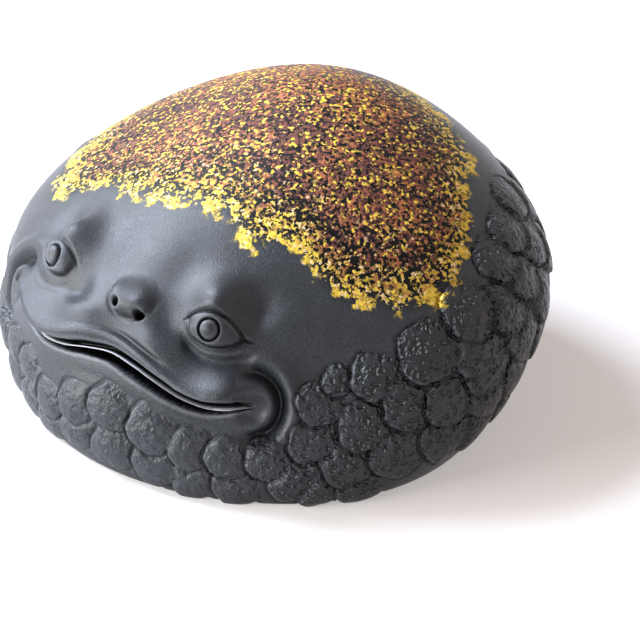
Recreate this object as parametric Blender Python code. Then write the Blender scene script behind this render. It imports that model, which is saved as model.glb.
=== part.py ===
"""A tea pet: a palm-sized creature of black stoneware, shaped like a pebble.

It faces -Y, with +X on its left-hand side and +Z up, and it rests on a flat foot.
A pebble is worked like clay: broad swellings first, then the face, then the scales.
Lengths are in millimetres until the meshes are written, in metres.
A place on the pebble is a pair of degrees: its bearing round the pebble, which is 0
at the middle of the face and grows towards +X, and its level above the girth.
"""
import math

import bmesh
import bpy
import numpy as np

METRES = 0.001

# Overall form
GIRTH_WIDTH = 98.6
GIRTH_DEPTH = 77.6
HEIGHT = 48.9
GIRTH_LEVEL = 19.5
LEAN_BACK = 14.0
CROWN_POWER = 1.6
FLANK_POWER = 2.5
FOOT_WIDTH = 87.0
FOOT_ROUND = 2.0
SWELLING_SPREAD = 32.0
SWELLINGS = (
    (0, 0, 3.0),
    (45, 0, -4.3),
    (90, 0, -0.8),
    (135, 0, 2.3),
    (180, 0, 0.9),
    (225, 0, -0.8),
    (270, 0, -0.7),
    (315, 0, 0.6),
    (0, 48, 1.9),
    (120, 48, 0.7),
    (300, 48, -3.5),
)

# Hollow inside
WALL = 4.5
FLOOR = 5.0
VENT_DIAMETER = 11.0
MOUTH_BACKING = 4.0
MOUTH_BACKING_PLACE = (0.0, -3.0)
MOUTH_BACKING_SPREAD = 33.6

# Eyes: each has its own place, and the same form mirrored
EYES = ((19.7, 15.4, 1), (-21.6, 14.2, -1))
EYE_REACH = 18.0
UPPER_LID = (
    (-5.3, 0.0), (-3.9, 1.5), (-2.3, 2.8), (-0.3, 3.35), (1.9, 3.0), (4.2, 1.5), (6.0, 0.1),
    (8.4, -0.9),
)
LOWER_LID = (
    (-5.3, -0.2), (-4.0, -1.1), (-2.3, -1.9), (0.6, -2.5), (2.5, -2.5), (4.2, -2.0), (6.0, -0.9),
    (8.4, -1.0),
)
LID_RIM = (
    (-5.8, -0.6), (-4.3, -1.7), (-2.3, -2.8), (0.2, -3.5), (2.2, -3.6), (4.8, -2.9), (7.6, -1.8),
    (9.4, -1.4),
)
BAG_CREASE = (
    (-6.0, -1.6), (-4.5, -2.8), (-2.8, -4.0), (-0.5, -4.8), (2.1, -5.1), (4.5, -4.7), (6.8, -3.6),
    (9.0, -2.0),
)
INNER_CORNER = -5.0
OUTER_CORNER = 6.2
LID_TAIL = 1.8
EYEBALL_PLACE = (0.5, 0.2)
EYEBALL_RADIUS = 4.3
EYEBALL_STRETCH = 1.18
EYEBALL_RISE = 2.6
EYEBALL_DROP = 0.35
LID_SEAM_WIDTH = 0.35
LID_SEAM_DEPTH = 0.7
LID_FOLD_OFFSET = 0.85
LID_FOLD_WIDTH = 0.5
LID_FOLD_RISE = 0.4
LOWER_SEAM_WIDTH = 0.35
LOWER_SEAM_DEPTH = 0.3
LID_RIM_WIDTH = 0.7
LID_RIM_RISE = 0.6
BAG_WIDTH = 1.0
BAG_DEPTH = 0.8
IRIS_RADIUS = 1.55
IRIS_RISE = 0.2
IRIS_GROOVE_WIDTH = 0.35
IRIS_GROOVE_DEPTH = 0.8
BROW = (1.6, 6.6, 4.7, 4.2, 3.0)
OUTER_HOLLOW = (7.0, 4.6, 3.2, 2.8, -1.5)
INNER_HOLLOW = (-7.6, 0.5, 2.2, 3.0, -0.8)

# Nose and muzzle
NOSE_PLACE = (0.9, 18.0)
NOSE_REACH = 20.0
NOSE_HALF_WIDTH = 3.6
NOSE_HALF_HEIGHT = 3.1
NOSE_RISE = 2.4
NOSE_CREASE = 0.5
NOSTRIL_SPREAD = 2.4
NOSTRIL_DROP = 2.4
NOSTRIL_SHIFT = 0.4
NOSTRIL_TILT = 0.2
NOSTRIL_RADIUS = 0.62
NOSTRIL_DEPTH = 2.4
NOSE_WING = (3.0, -0.5, 1.6, 1.9, 0.5)
MUZZLE = (7.8, -5.2, 4.9, 3.9, 1.6)
CHEEK_HOLLOW = (10.5, -0.8, 3.4, 1.9, -1.0)

# Mouth: it is driven by the ridge over its slot, from the right-hand corner to the left-hand one
RIDGE_LINE = (
    (-33.5, -1.2), (-27.0, -1.0), (-21.0, -2.2), (-15.5, -2.5), (-9.5, -0.6), (-3.8, 2.2), (1.8, 3.8),
    (7.4, 2.6), (12.5, 0.1), (17.5, -2.7), (22.5, -4.5), (27.5, -4.8), (32.0, -4.0),
)
SLOT_WIDTHS = (
    (0.0, 0.5), (0.15, 0.7), (0.3, 0.8), (0.42, 1.2), (0.55, 1.7), (0.65, 2.0), (0.75, 1.7),
    (0.85, 1.2), (0.95, 0.8), (1.0, 0.4),
)
RECESS_WIDTHS = (
    (0.0, 0.4), (0.3, 0.4), (0.5, 0.5), (0.65, 0.6), (0.8, 0.8), (0.88, 1.3), (0.95, 1.9),
    (1.0, 1.6),
)
SLOT_DEPTH = 4.0
SLOT_EDGE = 0.2
RIDGE_WIDTH = 0.5
RIDGE_DROP = 0.1
RECESS_DEPTH = 1.4
RECESS_EDGE = 0.2
UPPER_LIP_OFFSET = 1.9
UPPER_LIP_WIDTH = 0.8
UPPER_LIP_RISE = 0.9
LIP_CREASE_OFFSET = 2.9
LIP_CREASE_WIDTH = 0.3
LIP_CREASE_DEPTH = 0.5
CHEEK_ROLL_OFFSET = 3.2
CHEEK_ROLL_WIDTH = 1.4
CHEEK_ROLL_RISE = 1.4
LOWER_LIP_OFFSET = 1.1
LOWER_LIP_WIDTH = 1.2
LOWER_LIP_RISE = 0.25
CHIN_CREASE_OFFSET = 3.0
CHIN_CREASE_WIDTH = 0.8
CHIN_CREASE_DEPTH = 0.4
MOUTH_REACH = 12.0
MOUTH_END = 2.5
MOUTH_TAPER = 0.05
BOW_PLACE = 0.45
BOW_SPREAD = 0.1
BOW_LIFT = 0.5
MIDDLE_SPREAD = 0.22

# Mouth corners: a pocket inside a rim, a groove and an outer fold
CORNERS = ((32.6, -3.8, 1), (-33.8, -1.6, -1))
CORNER_REACH = 14.0
CORNER_STRETCH = 0.85
CORNER_CURL = 100.0
CORNER_FADE = 20.0
POCKET_RADIUS = 1.9
POCKET_DEPTH = 1.4
RIM_RADIUS = 2.7
RIM_WIDTH = 0.7
RIM_RISE = 0.6
CORNER_GROOVE_RADIUS = 4.6
CORNER_GROOVE_WIDTH = 0.95
CORNER_GROOVE_DEPTH = 1.8
FOLD_RADIUS = 6.9
FOLD_WIDTH = 1.3
FOLD_RISE = 0.7

# Scales: bearing, level and radius; those of the +X flank are repeated on the other one
SCALE_RISE = 0.45
SCALE_SLOPE = 0.4
SCALE_DOME = 0.5
SCALE_EDGE = 0.4
SCALE_GROOVE = 0.4
SCALE_GROOVE_WIDTH = 0.5
SCALE_BED = 0.1
SCALE_SQUARENESS = 2.25
SCALE_LEAN = 0.4
SCALE_WAVES = ((0.3, 0.95),)
CHIN_SCALES = (
    (-28, -13.5, 3.4), (-20.6, -13.8, 3.4), (-16.8, -17.0, 3.4), (-12.1, -18.3, 3.8), (-4.0, -13.6, 4.2),
    (4.0, -10.6, 4.3), (13.6, -13.4, 4.6), (22.4, -17.3, 4.2), (30.6, -19.4, 3.9), (39.4, -19.3, 3.9),
    (-21.0, -25.0, 3.8), (-12.5, -26.0, 3.8), (-3.8, -21.9, 4.1), (5.7, -22.6, 4.5), (15.5, -25.2, 4.2),
    (24.7, -28.0, 4.2), (34.8, -28.9, 4.2), (46.3, -26.0, 4.0), (-30, -24, 3.8), (-38, -17, 3.8),
)
FLANK_SCALES = (
    (47.5, -2.6, 4.1), (48.2, -13.8, 4.1), (50, 5.0, 2.8), (58.4, 5.5, 4.1), (59.7, -9.6, 4.7),
    (58.5, -20.8, 4.6), (68.8, -4.4, 4.5), (71.8, 10.9, 5.4), (70.9, -18.5, 5.4), (80.2, -6.0, 4.6),
    (85.8, 8.1, 5.0), (84, -18, 5.2), (84.4, 19.0, 5.2), (90, 0, 5.0), (95, -9, 5.0),
    (97, 15, 4.8), (99, 28, 4.6), (104, 3, 5.0), (98, -21, 5.2), (107, 19, 4.8),
    (108, -9, 5.6), (110, 31, 4.4), (116, 8, 5.0), (112, -21, 5.2), (119, 22, 4.8),
    (121, -6, 5.4), (123, 34, 4.4), (128, 14, 5.0), (127, -20, 5.2), (54, -28, 4.4),
    (66, -31, 4.2), (133, 27, 4.8), (134, -5, 5.2), (141, 10, 5.2), (141, -19, 5.2),
    (147, 24, 4.6), (148, -5, 5.2), (155, 12, 5.0), (155, -19, 5.2), (161, 25, 4.6),
    (162, -4, 5.2), (168, 11, 5.0), (169, -18, 5.2), (174, 25, 4.6), (176, -3, 5.2),
)
FAR_FLANK_TOP = 9
FAR_FLANK_FRONT = 75
FAR_FLANK_FRONT_TOP = -8
SCALE_SEED = 7

# Fineness
SKIN_SUBDIVISIONS = 7
SKIN_TRIANGLES = 10300
FOOT_FLATNESS = 0.1
HOLLOW_SUBDIVISIONS = 4
FACE_CROWDING = 0.38

STONEWARE_COLOUR = (0.032, 0.036, 0.042, 1.0)
STONEWARE_ROUGHNESS = 0.55


def bell(distance):
    """Return a soft bump: 1 at no distance, and near 0 from a distance of 2."""
    return np.exp(-distance * distance)


def inside(distance, softness):
    """Return 1 well inside an edge at distance 0, 0 well outside it."""
    return 0.5 - 0.5 * np.tanh(distance / softness)


def direction_of(bearing, level):
    """Return the unit direction of a place given in degrees."""
    bearing = math.radians(bearing)
    level = math.radians(level)
    return np.array((
        math.sin(bearing) * math.cos(level),
        -math.cos(bearing) * math.cos(level),
        math.sin(level),
    ))


def pebble(direction):
    """Return the plain pebble's points in the given unit directions."""
    across, along, up = direction[..., 0], direction[..., 1], direction[..., 2]
    foot_share = FOOT_WIDTH / GIRTH_WIDTH
    drop = GIRTH_LEVEL / (1 - foot_share ** FLANK_POWER) ** (1 / FLANK_POWER)
    rise = HEIGHT - GIRTH_LEVEL
    power = np.where(up >= 0, CROWN_POWER, FLANK_POWER)
    level_radius = np.hypot(across, along)
    reach = (level_radius ** power + np.abs(up) ** power) ** (-1 / power)

    swelling = np.zeros(across.shape)
    for bearing, level, height in SWELLINGS:
        apart = np.arccos(np.clip(direction @ direction_of(bearing, level), -1, 1))
        swelling += height * bell(apart / math.radians(SWELLING_SPREAD))

    x = GIRTH_WIDTH / 2 * across * reach + swelling * across
    y = GIRTH_DEPTH / 2 * along * reach + swelling * along + LEAN_BACK * up * reach
    z = np.where(up >= 0, rise, drop) * up * reach + GIRTH_LEVEL + swelling * up
    rounded = (z + FOOT_ROUND) ** 2 / (4 * FOOT_ROUND)
    z = np.where(z > FOOT_ROUND, z, np.where(z < -FOOT_ROUND, 0.0, rounded))
    return np.stack((x, y, z), axis=-1)


def outward(direction):
    """Return the pebble's outward normals in the given directions."""
    step = 0.002
    helper = np.where(np.abs(direction[..., 2:3]) < 0.9, (0.0, 0.0, 1.0), (1.0, 0.0, 0.0))
    first = np.cross(direction, helper)
    first /= np.linalg.norm(first, axis=-1, keepdims=True)
    second = np.cross(direction, first)

    def slope(tangent):
        ahead = direction + step * tangent
        behind = direction - step * tangent
        ahead /= np.linalg.norm(ahead, axis=-1, keepdims=True)
        behind /= np.linalg.norm(behind, axis=-1, keepdims=True)
        return pebble(ahead) - pebble(behind)

    normal = np.cross(slope(first), slope(second))
    return normal / np.linalg.norm(normal, axis=-1, keepdims=True)


def smooth_curve(knots, count):
    """Return count points on a smooth curve through the knots, evenly spaced in its parameter."""
    knots = np.array(knots, dtype=float)
    slopes = np.gradient(knots, axis=0)
    where = np.linspace(0, len(knots) - 1, count)
    left = np.minimum(where.astype(int), len(knots) - 2)
    t = (where - left)[:, None]
    start, end = knots[left], knots[left + 1]
    return (
        start * (2 * t ** 3 - 3 * t ** 2 + 1)
        + end * (3 * t ** 2 - 2 * t ** 3)
        + slopes[left] * (t ** 3 - 2 * t ** 2 + t)
        + slopes[left + 1] * (t ** 3 - t ** 2)
    )


def profile(where, knots):
    """Return the height of a smooth curve through the knots at each distance along it."""
    curve = smooth_curve(knots, 200)
    return np.interp(where, curve[:, 0], curve[:, 1])


def swell(right, up, swellings):
    """Return a sum of soft oval bumps, each given by its place, its half sizes and its rise."""
    return sum(
        rise * bell((right - x) / wide) * bell((up - y) / tall)
        for x, y, wide, tall, rise in swellings
    )


class Clay:
    """The pebble's skin while it is worked, with the height of every point above the pebble."""

    def __init__(self, direction):
        self.base = pebble(direction)
        self.normal = outward(direction)
        self.height = np.zeros(len(direction))

    def around(self, bearing, level, reach):
        """Return the points within reach of a place, and how far right and up of it they lie."""
        centre_direction = direction_of(bearing, level)
        centre = pebble(centre_direction)
        normal = outward(centre_direction)
        right = np.cross((0.0, 0.0, 1.0), normal)
        right /= np.linalg.norm(right)
        up = np.cross(normal, right)
        offset = self.base - centre
        near = np.flatnonzero((offset * offset).sum(axis=1) < reach * reach)
        return near, offset[near] @ right, offset[near] @ up

    def along(self, places, reach):
        """Return the points near a line of places, how far along it each lies, and how far up."""
        line = smooth_curve(places, 160)
        directions = np.array([direction_of(bearing, level) for bearing, level in line])
        points = pebble(directions)
        ahead = np.gradient(points, axis=0)
        ahead /= np.linalg.norm(ahead, axis=1, keepdims=True)
        up = np.cross(outward(directions), ahead)
        low = points.min(axis=0) - reach
        high = points.max(axis=0) + reach
        near = np.flatnonzero(((self.base > low) & (self.base < high)).all(axis=1))
        offset = self.base[near][:, None, :] - points[None, :, :]
        closest = (offset * offset).sum(axis=2).argmin(axis=1)
        step = offset[np.arange(len(near)), closest]
        over = (step * up[closest]).sum(axis=1)
        past = (step * ahead[closest]).sum(axis=1)
        return near, closest / (len(points) - 1), over, past

    def points(self):
        """Return the worked skin, with the foot's flat kept flat."""
        worked = self.base + self.normal * self.height[:, None]
        flat = self.base[:, 2] <= 0
        worked[flat] = self.base[flat]
        worked[:, 2] = np.maximum(worked[:, 2], 0)
        return worked


def carve_eye(clay, bearing, level, side):
    """Raise an eyeball between two lids, with a disc for its iris, under a full brow."""
    near, right, up = clay.around(bearing, level, EYE_REACH)
    out = right * side
    upper = profile(out, UPPER_LID)
    lower = profile(out, LOWER_LID)
    past_corners = np.maximum(INNER_CORNER - out, out - OUTER_CORNER)
    open_run = inside(past_corners, 0.4)
    tail_run = inside(past_corners - LID_TAIL, 0.9)
    opening = inside(up - upper, 0.2) * inside(lower - up, 0.2) * open_run
    from_ball = ((out - EYEBALL_PLACE[0]) / EYEBALL_STRETCH) ** 2 + (up - EYEBALL_PLACE[1]) ** 2
    ball = np.sqrt(np.clip(EYEBALL_RADIUS ** 2 - from_ball, 0, None)) - EYEBALL_RADIUS + EYEBALL_RISE
    change = np.maximum(ball, -EYEBALL_DROP) * opening

    change -= LID_SEAM_DEPTH * bell((up - upper) / LID_SEAM_WIDTH) * inside(past_corners - 1.6, 0.8)
    change += LID_FOLD_RISE * bell((up - upper - LID_FOLD_OFFSET) / LID_FOLD_WIDTH) * tail_run
    change -= LOWER_SEAM_DEPTH * bell((up - lower) / LOWER_SEAM_WIDTH) * open_run
    change += LID_RIM_RISE * bell((up - profile(out, LID_RIM)) / LID_RIM_WIDTH) * tail_run
    change -= BAG_DEPTH * bell((up - profile(out, BAG_CREASE)) / BAG_WIDTH) * tail_run

    from_iris = np.hypot(out, up)
    change += IRIS_RISE * inside(from_iris - IRIS_RADIUS, 0.12)
    low_left = 0.5 - 0.4 * (right + up) / np.maximum(from_iris, 0.1)
    groove = bell((from_iris - IRIS_RADIUS - IRIS_GROOVE_WIDTH / 2) / IRIS_GROOVE_WIDTH)
    change -= IRIS_GROOVE_DEPTH * groove * low_left * opening
    clay.height[near] += change + swell(out, up, (BROW, OUTER_HOLLOW, INNER_HOLLOW))


def carve_nose(clay):
    """Raise a small button nose with a crease under it, two nostrils and the muzzle below."""
    near, right, up = clay.around(*NOSE_PLACE, NOSE_REACH)
    rim = np.hypot(right / NOSE_HALF_WIDTH, up / NOSE_HALF_HEIGHT)
    below = inside(up, 1.0)
    change = NOSE_RISE * inside(rim - 0.86, 0.42 - 0.16 * below) * (0.75 + 0.5 * below)
    change -= NOSE_CREASE * bell((rim - 1.28) / 0.16) * below
    for side in (-1, 1):
        across = right - NOSTRIL_SHIFT - side * NOSTRIL_SPREAD
        nostril = np.hypot(across / 1.2, up + NOSTRIL_DROP + side * NOSTRIL_TILT)
        change -= NOSTRIL_DEPTH * inside(nostril - NOSTRIL_RADIUS, 0.2)
        change += swell(right * side, up, (NOSE_WING, MUZZLE, CHEEK_HOLLOW))
    clay.height[near] += change


def carve_mouth(clay):
    """Cut the long wavy slot, the recess and ridge over it, and roll the two lips."""
    near, share, over, past = clay.along(RIDGE_LINE, MOUTH_REACH)
    slot_width = np.interp(share, *zip(*SLOT_WIDTHS))
    recess_width = np.interp(share, *zip(*RECESS_WIDTHS))
    ends = np.clip(1 - np.abs(past) / MOUTH_END, 0, 1)
    taper = np.clip(np.minimum(share, 1 - share) / MOUTH_TAPER, 0, 1) * ends
    lips = np.sqrt(np.clip(np.sin(np.pi * share), 0, 1)) * ends
    middle = bell((share - 0.52) / MIDDLE_SPREAD)
    bow = BOW_LIFT * bell((share - BOW_PLACE) / BOW_SPREAD)

    slot_top = -0.5 * RIDGE_WIDTH
    below_slot = slot_top - slot_width - over
    ridge_top = 0.5 * RIDGE_WIDTH
    recess_top = ridge_top + recess_width
    change = -SLOT_DEPTH * inside(over - slot_top, SLOT_EDGE) * inside(below_slot, SLOT_EDGE) * ends
    change -= RECESS_DEPTH * inside(over - recess_top, RECESS_EDGE) * inside(ridge_top - over, RECESS_EDGE) * taper
    change -= RIDGE_DROP * bell(over / RIDGE_WIDTH) * taper

    change += UPPER_LIP_RISE * bell((over - UPPER_LIP_OFFSET - bow) / UPPER_LIP_WIDTH) * lips
    change -= LIP_CREASE_DEPTH * bell((over - LIP_CREASE_OFFSET - bow) / LIP_CREASE_WIDTH) * middle * ends
    change += CHEEK_ROLL_RISE * bell((over - CHEEK_ROLL_OFFSET) / CHEEK_ROLL_WIDTH) * (1 - middle) * lips
    change += LOWER_LIP_RISE * bell((below_slot - LOWER_LIP_OFFSET) / LOWER_LIP_WIDTH) * lips
    crease = bell((below_slot - CHIN_CREASE_OFFSET) / CHIN_CREASE_WIDTH)
    change -= CHIN_CREASE_DEPTH * crease * lips * np.clip(2.5 * share - 0.9, 0, 1)
    clay.height[near] += change


def carve_corner(clay, bearing, level, side):
    """Sink a pocket at one end of the mouth, with a rim, a groove and a fold curling round it."""
    near, right, up = clay.around(bearing, level, CORNER_REACH)
    out = right * side
    up = up * CORNER_STRETCH
    distance = np.hypot(out, up)
    curl = inside(np.degrees(np.abs(np.arctan2(up, out))) - CORNER_CURL, CORNER_FADE)
    change = -POCKET_DEPTH * inside(distance - POCKET_RADIUS, 0.45)
    change += RIM_RISE * bell((distance - RIM_RADIUS) / RIM_WIDTH) * curl
    change -= CORNER_GROOVE_DEPTH * bell((distance - CORNER_GROOVE_RADIUS) / CORNER_GROOVE_WIDTH) * curl
    change += FOLD_RISE * bell((distance - FOLD_RADIUS) / FOLD_WIDTH) * curl
    clay.height[near] += change


def scale_places():
    """Return every scale, lowest first, so that each one laps the row under it."""
    chance = np.random.default_rng(SCALE_SEED)
    places = list(CHIN_SCALES) + list(FLANK_SCALES)
    for bearing, level, radius in FLANK_SCALES:
        shift = chance.uniform(-1.5, 1.5, 2)
        top = FAR_FLANK_FRONT_TOP if bearing < FAR_FLANK_FRONT else FAR_FLANK_TOP
        if level < top:
            places.append((-bearing + shift[0], level + shift[1], radius))
    return sorted(places, key=lambda place: (round(place[1] / 6), place[0]))


def lay_scales(clay):
    """Lap scales over each other, each sunk to one side and with its own uneven outline."""
    chance = np.random.default_rng(SCALE_SEED)
    top = np.zeros(len(clay.height))
    bed = np.zeros(len(clay.height))
    for bearing, level, radius in scale_places():
        near, right, up = clay.around(bearing, level, radius * 1.9)
        turn = chance.uniform(0, 2 * math.pi, 2)
        across = right + sum(size * np.sin(pitch * up + turn[0] * pitch) for size, pitch in SCALE_WAVES)
        along = up + sum(size * np.sin(pitch * right + turn[1] * pitch) for size, pitch in SCALE_WAVES)
        lean = chance.uniform(-SCALE_LEAN, SCALE_LEAN)
        wide = across * math.cos(lean) + along * math.sin(lean)
        tall = along * math.cos(lean) - across * math.sin(lean)
        power = SCALE_SQUARENESS
        rim = (np.abs(wide) ** power + np.abs(tall) ** power) ** (1 / power) / radius
        sunk = (right + 0.6 * up) / radius
        surface = SCALE_RISE - SCALE_SLOPE * sunk * chance.uniform(0.6, 1.1) + SCALE_DOME * (0.7 - rim ** 2)
        cover = inside((rim - 0.95) * radius, SCALE_EDGE)
        groove = bell((rim - 1.0) * radius / SCALE_GROOVE_WIDTH) * np.clip(0.65 - 0.45 * sunk, 0, 1)
        top[near] += (surface - top[near]) * cover
        top[near] -= SCALE_GROOVE * groove
        bed[near] = np.maximum(bed[near], inside((rim - 1.0) * radius, 0.5))
    clay.height += top - SCALE_BED * bed


def worked_skin(direction):
    """Return the creature's outer skin in the given directions."""
    clay = Clay(direction)
    lay_scales(clay)
    for eye in EYES:
        carve_eye(clay, *eye)
    carve_nose(clay)
    carve_mouth(clay)
    for corner in CORNERS:
        carve_corner(clay, *corner)
    return clay.points()


def hollow_skin(direction):
    """Return the inside of the wall, thicker behind the mouth, over a flat floor."""
    points = pebble(direction)
    apart = np.arccos(np.clip(direction @ direction_of(*MOUTH_BACKING_PLACE), -1, 1))
    wall = WALL + MOUTH_BACKING * bell(apart / math.radians(MOUTH_BACKING_SPREAD))
    points = points - outward(direction) * wall[:, None]
    points[:, 2] = np.maximum(points[:, 2], FLOOR)
    return points


def thinned(mesh, triangles):
    """Return the mesh with fewer faces, kept where it curves most, and with its foot flat."""
    holder = add_object("holder", mesh)
    thin = holder.modifiers.new("fewer_faces", "DECIMATE")
    thin.ratio = triangles / len(mesh.polygons)
    graph = bpy.context.evaluated_depsgraph_get()
    fewer = bpy.data.meshes.new_from_object(holder.evaluated_get(graph))
    bpy.data.objects.remove(holder)
    for vertex in fewer.vertices:
        if vertex.co.z < FOOT_FLATNESS * METRES:
            vertex.co.z = 0.0
    return fewer


def sphere_mesh(name, subdivisions, crowding, shape):
    """Build a mesh from an icosphere whose points are crowded at the face and then shaped."""
    form = bmesh.new()
    bmesh.ops.create_icosphere(form, subdivisions=subdivisions, radius=1.0)
    mesh = bpy.data.meshes.new(name)
    form.to_mesh(mesh)
    form.free()
    direction = np.empty(len(mesh.vertices) * 3)
    mesh.vertices.foreach_get("co", direction)
    direction = direction.reshape(-1, 3) + crowding * direction_of(10, -5)
    direction /= np.linalg.norm(direction, axis=1, keepdims=True)
    points = shape(direction)
    mesh.vertices.foreach_set("co", (points * METRES).ravel())
    mesh.update()
    return mesh


def stoneware():
    """Make the unglazed black stoneware."""
    material = bpy.data.materials.new("black_stoneware")
    material.use_nodes = True
    shader = material.node_tree.nodes["Principled BSDF"]
    shader.inputs["Base Color"].default_value = STONEWARE_COLOUR
    shader.inputs["Roughness"].default_value = STONEWARE_ROUGHNESS
    shader.inputs["Metallic"].default_value = 0.0
    return material


def add_object(name, mesh):
    thing = bpy.data.objects.new(name, mesh)
    bpy.context.scene.collection.objects.link(thing)
    return thing


def add_cutter(body, name, mesh):
    """Subtract a mesh from the body, and keep it as a hidden wire guide."""
    cutter = add_object(name, mesh)
    cutter.hide_render = True
    cutter.display_type = "WIRE"
    cut = body.modifiers.new(name, "BOOLEAN")
    cut.operation = "DIFFERENCE"
    cut.object = cutter


def vent_mesh():
    """Build the round vent through the floor, which lets steam out in the kiln."""
    form = bmesh.new()
    bmesh.ops.create_cone(
        form, cap_ends=True, segments=48,
        radius1=VENT_DIAMETER / 2 * METRES, radius2=VENT_DIAMETER / 2 * METRES, depth=3 * FLOOR * METRES,
    )
    mesh = bpy.data.meshes.new("vent")
    form.to_mesh(mesh)
    form.free()
    return mesh


def build():
    """Build the creature, with the origin under the middle of its box."""
    skin = sphere_mesh("tea_pet_body", SKIN_SUBDIVISIONS, FACE_CROWDING, worked_skin)
    skin = thinned(skin, SKIN_TRIANGLES)
    skin.name = "tea_pet_body"
    skin.materials.append(stoneware())
    skin.shade_smooth()
    body = add_object("tea_pet_body", skin)
    add_cutter(body, "hollow", sphere_mesh("hollow", HOLLOW_SUBDIVISIONS, 0.0, hollow_skin))
    add_cutter(body, "vent", vent_mesh())

    corners = np.array([vertex.co for vertex in skin.vertices])
    middle = (corners.min(axis=0) + corners.max(axis=0)) / 2
    for thing in bpy.data.objects:
        thing.location = (-middle[0], -middle[1], 0)


for old in list(bpy.data.objects):
    bpy.data.objects.remove(old)
build()
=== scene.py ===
# %% [markdown]
# # A black stoneware tea pet
# A tea pet is a small clay creature that sits on the tea tray and has tea poured over it.
# This one is pressed and carved like a river pebble. It has a smiling face with a long wavy
# mouth, lapped scales round its lower half, and a gritty glaze sprinkled over its crown.
# The lesson loads the measured model, carves the same pebble finely, and gives it its two
# finishes: unglazed black clay, and the sprinkled glaze. The order is that of the work in
# clay: pebble, eyes, nose, mouth, scales, and the glaze last.

# %% Load the measured model
import math

import bmesh
import bpy
import numpy as np
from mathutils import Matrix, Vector


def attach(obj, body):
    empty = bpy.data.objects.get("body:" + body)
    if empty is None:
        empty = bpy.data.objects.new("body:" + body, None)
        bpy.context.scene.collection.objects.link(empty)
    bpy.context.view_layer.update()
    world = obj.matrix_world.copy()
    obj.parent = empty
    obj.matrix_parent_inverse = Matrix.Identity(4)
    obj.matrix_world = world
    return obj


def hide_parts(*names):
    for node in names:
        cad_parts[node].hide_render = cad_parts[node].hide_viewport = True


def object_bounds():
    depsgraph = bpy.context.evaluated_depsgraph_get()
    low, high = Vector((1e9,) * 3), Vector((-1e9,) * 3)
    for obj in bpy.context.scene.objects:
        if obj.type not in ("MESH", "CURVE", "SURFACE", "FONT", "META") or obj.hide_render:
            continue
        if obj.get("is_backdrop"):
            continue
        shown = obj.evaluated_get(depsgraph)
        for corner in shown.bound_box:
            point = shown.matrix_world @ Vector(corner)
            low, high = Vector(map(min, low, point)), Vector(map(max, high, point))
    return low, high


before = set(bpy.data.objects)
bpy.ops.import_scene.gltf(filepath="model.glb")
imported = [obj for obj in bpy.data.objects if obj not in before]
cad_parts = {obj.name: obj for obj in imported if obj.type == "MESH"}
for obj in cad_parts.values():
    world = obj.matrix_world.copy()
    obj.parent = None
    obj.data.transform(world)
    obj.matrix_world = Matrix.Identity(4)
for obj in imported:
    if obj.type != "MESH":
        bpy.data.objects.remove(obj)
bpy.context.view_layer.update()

# %% [markdown]
# ## The camera
# The camera stands as the photograph's did: off to the creature's left-hand side and well
# above it, with a long lens so that the far side hardly shrinks. It comes first, because
# every later step is judged through it.

# %% Set the camera
CAMERA_BEARING = math.radians(43.6)
CAMERA_HEIGHT_ANGLE = math.radians(32)
CAMERA_DISTANCE = 0.5
LENS = 164.3
SENSOR_WIDTH = 36
NEAREST_SEEN = 0.01
CAMERA_TARGET = Vector((0.0, 0.0018, 0.024))
FRAME_RIGHT = 0.0082
FRAME_DOWN = 0.0138

backwards = Vector((
    math.sin(CAMERA_BEARING) * math.cos(CAMERA_HEIGHT_ANGLE),
    -math.cos(CAMERA_BEARING) * math.cos(CAMERA_HEIGHT_ANGLE),
    math.sin(CAMERA_HEIGHT_ANGLE),
))
rightwards = Vector((math.cos(CAMERA_BEARING), math.sin(CAMERA_BEARING), 0))
upwards = backwards.cross(rightwards)

camera = bpy.data.objects.new("camera", bpy.data.cameras.new("camera"))
bpy.context.scene.collection.objects.link(camera)
camera.location = CAMERA_TARGET + backwards * CAMERA_DISTANCE
aim = CAMERA_TARGET + rightwards * FRAME_RIGHT - upwards * FRAME_DOWN
camera.rotation_euler = (camera.location - aim).to_track_quat("Z", "Y").to_euler()
camera.data.sensor_width = SENSOR_WIDTH
camera.data.lens = LENS
camera.data.clip_start = NEAREST_SEEN
bpy.context.scene.camera = camera
print("camera stands at", [round(c, 3) for c in camera.location])

# %% [markdown]
# ## The pebble
# A potter starts from a ball of clay, pats it into a pebble and only then works the face.
# The script does the same. Every point of the skin starts as a direction from the middle
# of a ball. One function turns a direction into a point of the plain pebble, in
# millimetres. A place on it is a pair of degrees: the bearing round the pebble, 0 in the
# middle of the face and growing towards +X, and the level above the girth. The crown and
# the flanks below it are rounded by two different powers: the crown rises to a soft peak
# that leans back, and the flanks stay full down to the foot. A few low swellings, each
# written as its bearing, its level and its height, take the evenness out of the form.

# %% Sizes of the pebble
METRES = 0.001
GIRTH_WIDTH = 98.6
GIRTH_DEPTH = 77.6
HEIGHT = 48.9
GIRTH_LEVEL = 19.5
LEAN_BACK = 14.0
CROWN_POWER = 1.6
FLANK_POWER = 2.5
FOOT_WIDTH = 87.0
FOOT_ROUND = 2.0
SLOPE_STEP = 0.002
SWELLING_SPREAD = 32.0
SWELLINGS = (
    (0, 0, 3.0), (45, 0, -4.3), (90, 0, -0.8), (135, 0, 2.3),
    (180, 0, 0.9), (225, 0, -0.8), (270, 0, -0.7), (315, 0, 0.6),
    (0, 48, 1.9), (120, 48, 0.7), (300, 48, -3.5),
)


def bell(distance):
    """Return a soft bump: 1 at no distance, and near 0 from a distance of 2."""
    return np.exp(-distance * distance)


def inside(distance, softness):
    """Return 1 well inside an edge at distance 0, 0 well outside it."""
    return 0.5 - 0.5 * np.tanh(distance / softness)


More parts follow.
